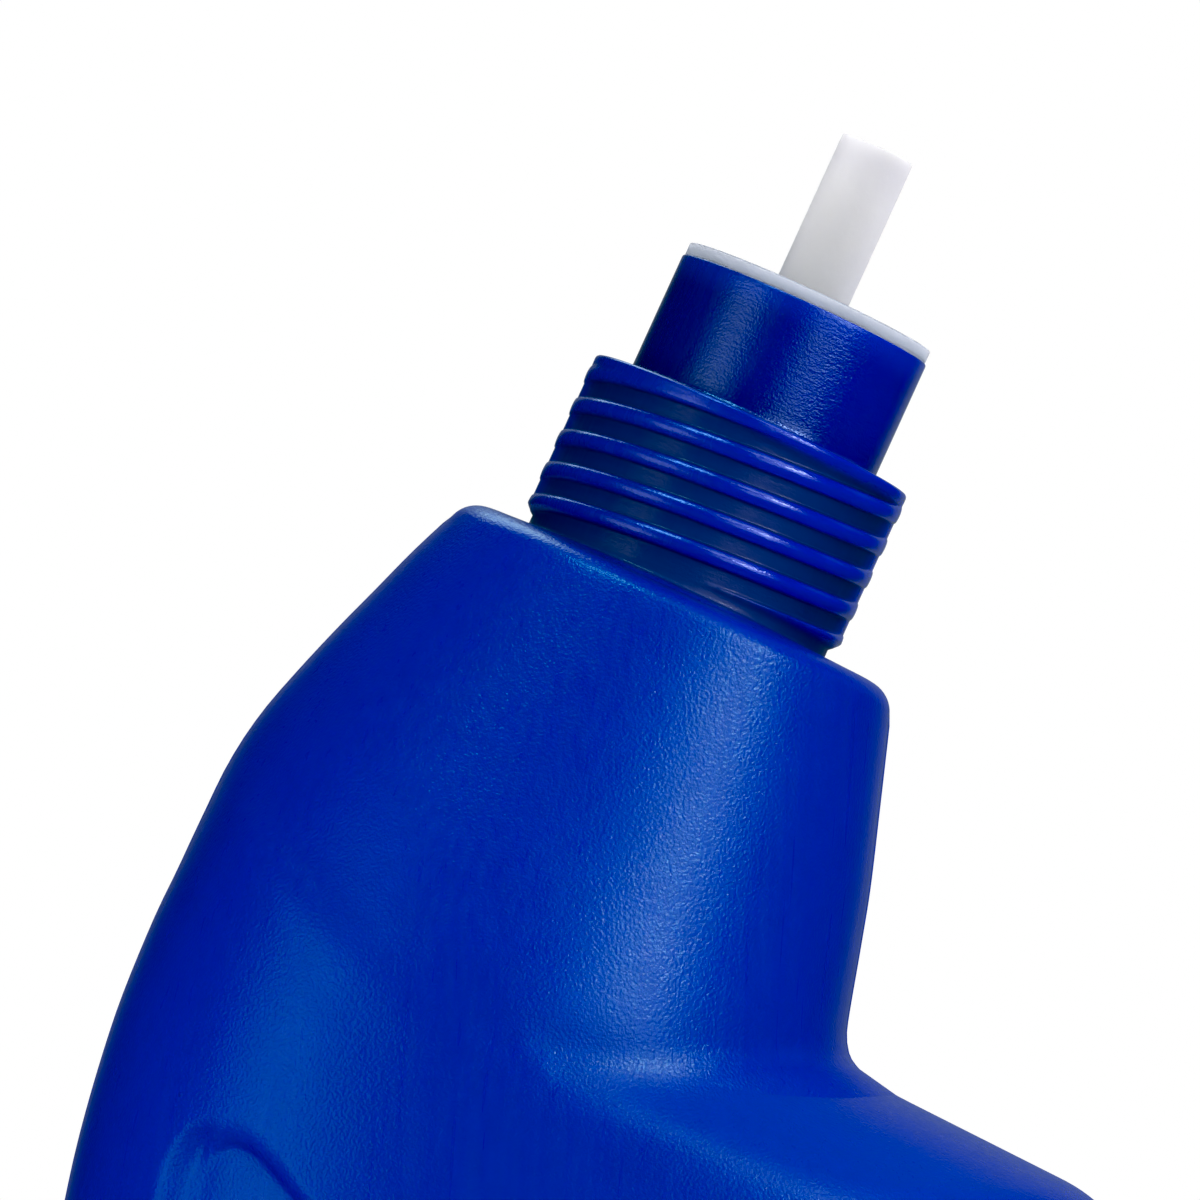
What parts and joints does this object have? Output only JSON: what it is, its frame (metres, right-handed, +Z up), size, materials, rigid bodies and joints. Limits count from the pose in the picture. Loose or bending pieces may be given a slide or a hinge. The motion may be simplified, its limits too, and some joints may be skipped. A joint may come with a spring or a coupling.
{
  "type": "toilet cleaner bottle",
  "caption": "Flat oval squeeze bottle with a leaning head, screw neck and pressed-in dosing nozzle, for liquid toilet cleaner.",
  "frame": {"origin": "centre of the footprint, on the plane that the base stands on", "axes": "+Z up, +X the side that the neck leans to, +Y across the bottle's flat sides, XZ is the mould parting plane"},
  "size_m": [0.0942, 0.0588, 0.2384],
  "materials": {
    "bottle_blue": "satin blow-moulded polyethylene, fine orange peel and die lines",
    "nozzle_white": "natural translucent polyethylene, smooth"
  },
  "bodies": {
    "root": {"bottle": "bottle_blue", "nozzle_insert": "nozzle_white"}
  },
  "joints": []
}
